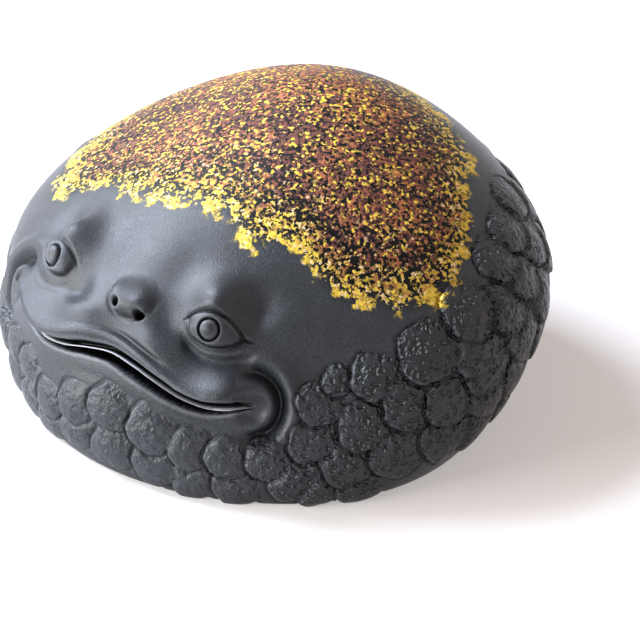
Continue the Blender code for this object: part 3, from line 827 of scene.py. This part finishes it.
def finished(mesh, add_modifiers):
    """Return the mesh as its modifiers leave it."""
    holder = bpy.data.objects.new("holder", mesh)
    bpy.context.scene.collection.objects.link(holder)
    add_modifiers(holder)
    graph = bpy.context.evaluated_depsgraph_get()
    made = bpy.data.meshes.new_from_object(holder.evaluated_get(graph))
    bpy.data.objects.remove(holder)
    return made


def thin_out(holder):
    """Take triangles away where the skin is smooth, down to the number wanted."""
    thin = holder.modifiers.new("fewer_faces", "DECIMATE")
    thin.ratio = SKIN_TRIANGLES / len(holder.data.polygons)


skin = finished(sphere_mesh("tea_pet", SKIN_SUBDIVISIONS, FACE_CROWDING, worked_skin), thin_out)
skin.name = "tea_pet"
skin.shade_smooth()
print("skin has", len(skin.polygons), "faces, and numbers:", [a.name for a in skin.attributes])

# %% Stand the body in for the measured solid
body = bpy.data.objects.new("tea_pet", skin)
bpy.context.scene.collection.objects.link(body)
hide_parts("tea_pet_body")
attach(body, "root")
print("body has", len(body.data.vertices), "points")

# %% [markdown]
# ## Colours and nodes
# Colours are written as they look on a screen. Blender's shaders want linear light, so one
# function converts them. Another adds a node with its settings and links in one call. The
# patterns of a finish have real sizes in millimetres, so the grain stays right from any
# distance.

# %% Helpers for materials


def linear(hex_colour):
    """Turn an sRGB hex colour into the linear colour that shaders use."""
    parts = [int(hex_colour[place:place + 2], 16) / 255 for place in (1, 3, 5)]
    return (*[c / 12.92 if c <= 0.04045 else ((c + 0.055) / 1.055) ** 2.4 for c in parts], 1.0)


def add_node(tree, kind, inputs=None, **settings):
    """Add a node, set its settings, and link or set its inputs."""
    made = tree.nodes.new(kind)
    for name, value in settings.items():
        setattr(made, name, value)
    for name, value in (inputs or {}).items():
        if isinstance(value, bpy.types.NodeSocket):
            tree.links.new(value, made.inputs[name])
        else:
            made.inputs[name].default_value = value
    return made


def per_metre(millimetres):
    """Return the texture scale whose features are this many millimetres across."""
    return 1000 / millimetres


print("mid grey in linear light:", round(linear("#808080")[0], 3))


# %% Patterns that a finish is mixed from
class Finish:
    """A material's node tree, with one short call for each kind of pattern."""

    def __init__(self, tree):
        self.tree = tree
        self.place = self.add("ShaderNodeTexCoord").outputs["Object"]

    def add(self, kind, inputs=None, **settings):
        """Add a node to this finish."""
        return add_node(self.tree, kind, inputs, **settings)

    def kept(self, name):
        """Return one of the numbers that the skin keeps for each point."""
        return self.add("ShaderNodeAttribute", attribute_name=name).outputs["Fac"]

    def noise(self, size, detail, roughness=0.5):
        """Return a cloudy pattern with features of this size in millimetres."""
        return self.add("ShaderNodeTexNoise", {
            "Vector": self.place, "Scale": per_metre(size),
            "Detail": detail, "Roughness": roughness,
        }).outputs["Fac"]

    def cells(self, size, place):
        """Return a pattern of cells of this size, each with its own draw of colours."""
        return self.add("ShaderNodeTexVoronoi", {"Vector": place, "Scale": per_metre(size)})

    def ramp(self, value, low, high, to_low=0.0, to_high=1.0):
        """Return to_low where the value is low, to_high where it is high, and between them."""
        return self.add("ShaderNodeMapRange", {
            "Value": value, "From Min": low, "From Max": high,
            "To Min": to_low, "To Max": to_high,
        }).outputs["Result"]

    def maths(self, operation, first, second):
        """Return one sum or product of two numbers."""
        return self.add("ShaderNodeMath", {0: first, 1: second}, operation=operation).outputs[0]

    def mix(self, share, first, second):
        """Return the first colour, with this share of the second laid over it."""
        return self.add(
            "ShaderNodeMix", {"Factor": share, 6: first, 7: second}, data_type="RGBA",
        ).outputs[2]

    def mix_numbers(self, share, first, second):
        """Return the first number, with this share of the second instead of it."""
        return self.add("ShaderNodeMix", {"Factor": share, 2: first, 3: second}).outputs[0]


print("a pattern of 0.5 mm needs the scale", per_metre(0.5))

# %% [markdown]
# ## Finish: unglazed black stoneware
# The body is a dense iron-bearing stoneware, fired without air until it turns black and
# rubbed smooth, so it has a soft sheen and a very fine grain. Its hollows, the pricks and
# the pricked back are darkened as painted shade. Its highest edges are paler, partly as
# wear and partly as painted highlight, and the mouth's ridge takes a full painted highlight.
# The scales are wrinkled, and pricked with a pointed stick, faintly at the chin and deeply
# at the back. Most settings are ramps: where the value begins and ends, and then what it
# becomes there, 0 and 1 if not given.

# %% Colour the clay
CLAY_DARK = "#121417"
CLAY_LIGHT = "#383D44"
# Near black: the clay's darkest colour, also used as painted shade in hollows, pricks and the
# back.
CLAY_BLACK_AND_PAINTED_SHADE = "#060607"
# Near white: wear on raised edges and a painted highlight, whitest on the mouth's ridge.
CLAY_WEAR_AND_HIGHLIGHT = "#C4C8CE"
CLAY_GRAIN = 0.22
CLAY_GRAIN_DETAIL = 2
CLAY_GRAIN_CONTRAST = (0.35, 0.65)
CLAY_MOTTLE = 7.0
CLAY_MOTTLE_DETAIL = 3
CLAY_MOTTLE_CONTRAST = (0.3, 0.7, 0.5, 1.2)
# Raised edges are paler, partly wear and partly painted highlight; the mouth's ridge takes a full
# painted highlight.
WORN_EDGE_AND_HIGHLIGHT = (-0.06, -0.35, 0.0, 0.15)
RIDGE_PAINTED_HIGHLIGHT = (-0.55, -1.0)
# Painted shade: the pricked scales are darkened more towards the back.
BACK_PAINTED_SHADE = (0.3, 1.0, 0.0, 0.6)
# Painted shade: hollows and the pricks' floors are darkened towards near black.
HOLLOW_PAINTED_SHADE = (0.02, 0.3, 0.0, 0.95)
PIT_PAINTED_SHADE = 0.95
PIT_SPACING = 1.25
PIT_WANDER_DETAIL = 1.0
PIT_WALL = (0.48, 0.26)
PITS_WHERE = (0.2, 1.0)


def pricked(finish, pitted):
    """Return the pricks of a pointed stick: 1 on their floors, 0 outside them."""
    wander = finish.add("ShaderNodeTexNoise", {
        "Vector": finish.place, "Scale": per_metre(PIT_SPACING), "Detail": PIT_WANDER_DETAIL,
    })
    shift = finish.add("ShaderNodeVectorMath", {
        0: wander.outputs["Color"], "Scale": METRES * PIT_SPACING,
    }, operation="SCALE")
    bent = finish.add("ShaderNodeVectorMath", {
        0: finish.place, 1: shift.outputs[0],
    }, operation="ADD")
    holes = finish.cells(PIT_SPACING, bent.outputs[0]).outputs["Distance"]
    return finish.maths(
        "MULTIPLY", finish.ramp(holes, *PIT_WALL), finish.ramp(pitted, *PITS_WHERE),
    )


def clay_colour(finish, grain, pits, pitted, hollow):
    """Return the black clay's colour, with painted shade in hollows, pricks and back, and worn
    edges with painted highlight.
    """
    mottle = finish.noise(CLAY_MOTTLE, CLAY_MOTTLE_DETAIL)
    paleness = finish.maths(
        "MULTIPLY",
        finish.ramp(grain, *CLAY_GRAIN_CONTRAST), finish.ramp(mottle, *CLAY_MOTTLE_CONTRAST),
    )
    # Paler edges: partly wear, partly painted highlight.
    edge_wear_and_highlight = finish.maths(
        "MAXIMUM", finish.ramp(hollow, *WORN_EDGE_AND_HIGHLIGHT), finish.ramp(hollow, *RIDGE_PAINTED_HIGHLIGHT),
    )
    # Painted shade in the hollows and on the pricks' floors.
    painted_shade = finish.maths(
        "MAXIMUM",
        finish.ramp(hollow, *HOLLOW_PAINTED_SHADE), finish.maths("MULTIPLY", pits, PIT_PAINTED_SHADE),
    )
    clay = finish.mix(paleness, linear(CLAY_DARK), linear(CLAY_LIGHT))
    # Painted shade on the pricked back, then the paler edges, then painted shade in hollows and
    # pricks.
    clay = finish.mix(finish.ramp(pitted, *BACK_PAINTED_SHADE), clay, linear(CLAY_BLACK_AND_PAINTED_SHADE))
    clay = finish.mix(edge_wear_and_highlight, clay, linear(CLAY_WEAR_AND_HIGHLIGHT))
    return finish.mix(painted_shade, clay, linear(CLAY_BLACK_AND_PAINTED_SHADE))


print("clay's grain is", CLAY_GRAIN, "mm, and the pricks stand", PIT_SPACING, "mm apart")

# %% [markdown]
# ## Finish: the sprinkled glaze
# The glaze is coarse coloured grit, gold at its thin edge and orange to brick red where it
# lies thick, with dark clay between the grains. Three cloudy patterns of different sizes
# say where grains lie: clumps fray the edge, patches make thick and thin places, and
# flecks are the grains themselves. Small cells then draw a hue and a brightness for each
# grain. The brightest grains turn cream, partly pale grit and partly painted glints.

# %% Sprinkle the glaze
GLAZE_GOLD = "#F2D24A"
# Cream grains: partly pale grit, partly painted glints.
GLAZE_CREAM_GLINT = "#F0D9A4"
GLAZE_ORANGE = "#AC693F"
GLAZE_BRICK = "#743E31"
GLAZE_MAROON = "#4A2624"
GRAIN_SIZE = 0.5
FLECK_PATTERN = (0.74, 3, 0.6)
CLUMP_PATTERN = (3.2, 4, 0.6)
PATCH_PATTERN = (11.0, 2)
RAGGED_EDGE = (0.3, 0.7, -2.6, 2.6)
PATCH_DEPTH = (0.3, 0.7, -4, 4)
SPARSENESS = (1.0, 16.0, 0.53, 0.46)
CLUMPS_CROWD = (0.48, 0.6)
CROWDED_BAND = (6.5, 2.0)
CROWD_GAIN = 0.25
GRAIN_EDGE = (0.0, 0.012)
GLAZE_BEGINS = (-0.6, 0.6)
HUE_WARMTH = 0.7
PATCH_WARMTH = (0.35, 0.65, 0.0, 0.6)
ORANGE_WHERE = (0.55, 0.75)
GOLD_DRAW = (0.79, 0.82)
MAROON_DRAW = (0.22, 0.12)
EDGE_CREAM_GLINT_DRAW = (0.85, 0.9)
EDGE_SCATTER = 6.0
EDGE_TO_DEEP = (4.0, 9.0)
GLAZE_THICKNESS = (2.0, 16.0)
CREAM_GLINT_DRAW = (0.91, 0.93)
CREAM_GLINTS_FADE = (1.0, 0.3)
SHADED_DRAW = (0.36, 0.0, 0.0, 0.85)


def sprinkled(finish, depth):
    """Return where grains lie, how deep inside the frayed edge they are, and their patches."""
    clumps = finish.noise(*CLUMP_PATTERN)
    patches = finish.noise(*PATCH_PATTERN)
    flecks = finish.noise(*FLECK_PATTERN)
    frayed = finish.maths("ADD", depth, finish.ramp(clumps, *RAGGED_EDGE))
    patchy = finish.maths("ADD", frayed, finish.ramp(patches, *PATCH_DEPTH))
    crowded = finish.maths(
        "MULTIPLY", finish.ramp(clumps, *CLUMPS_CROWD), finish.ramp(frayed, *CROWDED_BAND),
    )
    threshold = finish.maths(
        "SUBTRACT",
        finish.ramp(patchy, *SPARSENESS), finish.maths("MULTIPLY", crowded, CROWD_GAIN),
    )
    above = finish.maths("SUBTRACT", flecks, threshold)
    grains = finish.maths(
        "MULTIPLY", finish.ramp(above, *GRAIN_EDGE), finish.ramp(frayed, *GLAZE_BEGINS),
    )
    return grains, frayed, patches


def glaze_colour(finish, cells, frayed, patches):
    """Return the grains' colours, gold at the edge and orange to brick red further in, with cream
    grains that are partly painted glints.
    """
    draw = finish.add("ShaderNodeSeparateColor", {"Color": cells.outputs["Color"]})
    hue, brightness = draw.outputs[0], draw.outputs[1]
    warmth = finish.maths(
        "ADD", finish.maths("MULTIPLY", hue, HUE_WARMTH), finish.ramp(patches, *PATCH_WARMTH),
    )
    deep = finish.mix(
        finish.ramp(warmth, *ORANGE_WHERE), linear(GLAZE_BRICK), linear(GLAZE_ORANGE),
    )
    deep = finish.mix(finish.ramp(hue, *GOLD_DRAW), deep, linear(GLAZE_GOLD))
    deep = finish.mix(finish.ramp(hue, *MAROON_DRAW), deep, linear(GLAZE_MAROON))
    edge = finish.mix(
        finish.ramp(brightness, *EDGE_CREAM_GLINT_DRAW), linear(GLAZE_GOLD), linear(GLAZE_CREAM_GLINT),
    )
    inward = finish.maths("ADD", frayed, finish.maths("MULTIPLY", hue, EDGE_SCATTER))
    colour = finish.mix(finish.ramp(inward, *EDGE_TO_DEEP), edge, deep)
    thickness = finish.ramp(frayed, *GLAZE_THICKNESS)
    # Scattered cream grains, partly painted glints, fewer where the glaze lies thick.
    cream_glints = finish.maths(
        "MULTIPLY",
        finish.ramp(brightness, *CREAM_GLINT_DRAW), finish.ramp(thickness, *CREAM_GLINTS_FADE),
    )
    colour = finish.mix(cream_glints, colour, linear(GLAZE_CREAM_GLINT))
    return finish.mix(finish.ramp(brightness, *SHADED_DRAW), colour, linear(CLAY_BLACK_AND_PAINTED_SHADE))


print("glaze's grains are", GRAIN_SIZE, "mm, in flecks of", FLECK_PATTERN[0], "mm")

# %% [markdown]
# ## One skin, one material
# Both finishes share one skin, so they share one material, and the glaze decides between
# them grain by grain. The finest relief is a bump in millimetres: the clay's grain, the
# wrinkles and pricks of the scales, and the dome of each grain of glaze. The clay between
# the grains is duller and darker than the bare clay.

# %% Mix the finish
CLAY_ROUGHNESS = 0.1
WRINKLE_PATTERN = (1.5, 2)
WRINKLES_WHERE = (0.0, 0.4)
WRINKLE_DEPTH = 0.8
PIT_DEPTH = 1.2
GRAIN_DOME = (0.6, 0.0, 0.3, 1.0)
GRAIN_HEIGHT = 0.09
UNDER_GLAZE = (-1.0, 3.0)
CLAY_MATTNESS = 0.37
CLAY_SHEEN = 0.38
GAP_SHEEN = 0.12
GLAZE_MATTNESS = 0.55
GLAZE_SHEEN = 0.3


def fine_relief(finish, grain, pits, pitted, grains, cells):
    """Return the normals of the skin's finest relief."""
    wrinkles = finish.maths(
        "MULTIPLY", finish.noise(*WRINKLE_PATTERN), finish.ramp(pitted, *WRINKLES_WHERE),
    )
    domes = finish.maths(
        "MULTIPLY", grains, finish.ramp(cells.outputs["Distance"], *GRAIN_DOME),
    )
    height = finish.maths("MULTIPLY", grain, CLAY_ROUGHNESS)
    for operation, pattern, size in (
        ("ADD", wrinkles, WRINKLE_DEPTH), ("SUBTRACT", pits, PIT_DEPTH),
        ("ADD", domes, GRAIN_HEIGHT),
    ):
        height = finish.maths(operation, height, finish.maths("MULTIPLY", pattern, size))
    return finish.add("ShaderNodeBump", {
        "Height": height, "Distance": METRES, "Strength": 1.0,
    }).outputs["Normal"]


def stoneware_and_glaze():
    """Make the clay and the sprinkled glaze as one material."""
    material = bpy.data.materials.new("black_stoneware_with_sprinkled_glaze")
    material.use_nodes = True
    shader = material.node_tree.nodes["Principled BSDF"]
    finish = Finish(material.node_tree)
    depth, hollow, pitted = map(finish.kept, ("glaze_depth", "hollow", "pitted"))

    grain = finish.noise(CLAY_GRAIN, CLAY_GRAIN_DETAIL)
    pits = pricked(finish, pitted)
    clay = clay_colour(finish, grain, pits, pitted, hollow)
    clay = finish.mix(finish.ramp(depth, *UNDER_GLAZE), clay, linear(CLAY_BLACK_AND_PAINTED_SHADE))
    clay_sheen = finish.ramp(depth, *UNDER_GLAZE, CLAY_SHEEN, GAP_SHEEN)

    grains, frayed, patches = sprinkled(finish, depth)
    cells = finish.cells(GRAIN_SIZE, finish.place)
    glaze = glaze_colour(finish, cells, frayed, patches)
    sockets = {
        "Base Color": finish.mix(grains, clay, glaze),
        "Roughness": finish.mix_numbers(grains, CLAY_MATTNESS, GLAZE_MATTNESS),
        "Specular IOR Level": finish.mix_numbers(grains, clay_sheen, GLAZE_SHEEN),
        "Normal": fine_relief(finish, grain, pits, pitted, grains, cells),
    }
    for name, made in sockets.items():
        finish.tree.links.new(made, shader.inputs[name])
    return material


skin.materials.clear()
skin.materials.append(stoneware_and_glaze())
print("finish has", len(skin.materials[0].node_tree.nodes), "nodes")

# %% [markdown]
# ## Floor
# The creature stands on a plain white floor. The floor and the world show white to the
# camera without adding light to the clay, and the floor still takes the shadow.

# %% Lay the floor
FLOOR_SIZE = 1.5
FLOOR_WHITE = "#E8E8E8"
FLOOR_MATTNESS = 0.9
FLOOR_GLOW = 0.37


def seen_directly(tree):
    """Return 1 where a surface is seen, mirrored or looked at through glass, and else 0."""
    path = add_node(tree, "ShaderNodeLightPath").outputs
    either = add_node(tree, "ShaderNodeMath", {
        0: path["Is Camera Ray"], 1: path["Is Glossy Ray"],
    }, operation="MAXIMUM").outputs[0]
    return add_node(tree, "ShaderNodeMath", {
        0: either, 1: path["Is Transmission Ray"],
    }, operation="MAXIMUM").outputs[0]


def white_floor():
    """Make a floor that is lit like white card, and clips to white where no shadow falls."""
    material = bpy.data.materials.new("white_card")
    material.use_nodes = True
    tree = material.node_tree
    shader = tree.nodes["Principled BSDF"]
    shader.inputs["Base Color"].default_value = linear(FLOOR_WHITE)
    shader.inputs["Roughness"].default_value = FLOOR_MATTNESS
    shader.inputs["Specular IOR Level"].default_value = 0.0
    strength = add_node(tree, "ShaderNodeMath", {
        0: seen_directly(tree), 1: FLOOR_GLOW,
    }, operation="MULTIPLY")
    glow = add_node(tree, "ShaderNodeEmission", {"Strength": strength.outputs[0]})
    both = add_node(tree, "ShaderNodeAddShader", {0: shader.outputs[0], 1: glow.outputs[0]})
    tree.links.new(both.outputs[0], tree.nodes["Material Output"].inputs["Surface"])
    return material


floor_form = bmesh.new()
bmesh.ops.create_grid(floor_form, x_segments=1, y_segments=1, size=FLOOR_SIZE)
floor_mesh = bpy.data.meshes.new("floor")
floor_form.to_mesh(floor_mesh)
floor_form.free()
floor_mesh.materials.append(white_floor())
floor = bpy.data.objects.new("floor", floor_mesh)
bpy.context.scene.collection.objects.link(floor)
floor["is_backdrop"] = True
print("floor is", 2 * FLOOR_SIZE, "m wide")

# %% [markdown]
# ## Light and background
# A cool window lamp at the upper left makes the sheen on the brow and leaves the right
# flank dark. A broad low lamp at the front left fills in the chin and the near cheek. A
# weak warm lamp low at the back right stands for light that comes back off a wooden
# table, and tints the shadow. The room itself is dim and slightly warm.

# %% Set the lights
WORLD_LIGHT = 0.26
WORLD_COLOUR = "#FFDACA"
LAMP_TARGET = Vector((0.0, 0.0, 0.02))
KEY_PLACE = (-0.7, -0.13, 0.6)
KEY_SIZE = 0.5
KEY_POWER = 20.5
KEY_COLOUR = "#E4EEFF"
FILL_PLACE = (-0.5, -0.75, 0.12)
FILL_SIZE = 0.6
FILL_POWER = 18.0
FILL_COLOUR = "#FFFFFF"
WARM_PLACE = (0.6, 0.6, 0.14)
WARM_SIZE = 0.9
WARM_POWER = 1.2
WARM_COLOUR = "#FFB59A"


def add_lamp(name, place, size, power, colour):
    """Hang a square lamp that faces the creature."""
    lamp = bpy.data.objects.new(name, bpy.data.lights.new(name, "AREA"))
    lamp.data.size = size
    lamp.data.energy = power
    lamp.data.color = linear(colour)[:3]
    lamp.location = place
    lamp.rotation_euler = (Vector(place) - LAMP_TARGET).to_track_quat("Z", "Y").to_euler()
    bpy.context.scene.collection.objects.link(lamp)


add_lamp("window", KEY_PLACE, KEY_SIZE, KEY_POWER, KEY_COLOUR)
add_lamp("fill", FILL_PLACE, FILL_SIZE, FILL_POWER, FILL_COLOUR)
add_lamp("table_glow", WARM_PLACE, WARM_SIZE, WARM_POWER, WARM_COLOUR)

world = bpy.data.worlds.new("room")
world.use_nodes = True
bpy.context.scene.world = world
background = world.node_tree.nodes["Background"]
strength = add_node(world.node_tree, "ShaderNodeMapRange", {
    "Value": seen_directly(world.node_tree), "To Min": WORLD_LIGHT, "To Max": 1.0,
})
room = add_node(world.node_tree, "ShaderNodeMix", {
    "Factor": seen_directly(world.node_tree), 6: linear(WORLD_COLOUR), 7: linear("#FFFFFF"),
}, data_type="RGBA")
world.node_tree.links.new(strength.outputs["Result"], background.inputs["Strength"])
world.node_tree.links.new(room.outputs[2], background.inputs["Color"])
bpy.context.scene.view_settings.view_transform = "Standard"

# %% [markdown]
# ## Sizes, and the end
# The dressed creature's box is measured over every shown piece but the floor, and printed
# in millimetres.

# %% Write the sizes
seen_low, seen_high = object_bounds()
dressed_size = [round(1000 * (high - low), 1) for low, high in zip(seen_low, seen_high)]
print("dressed box in mm:", dressed_size)
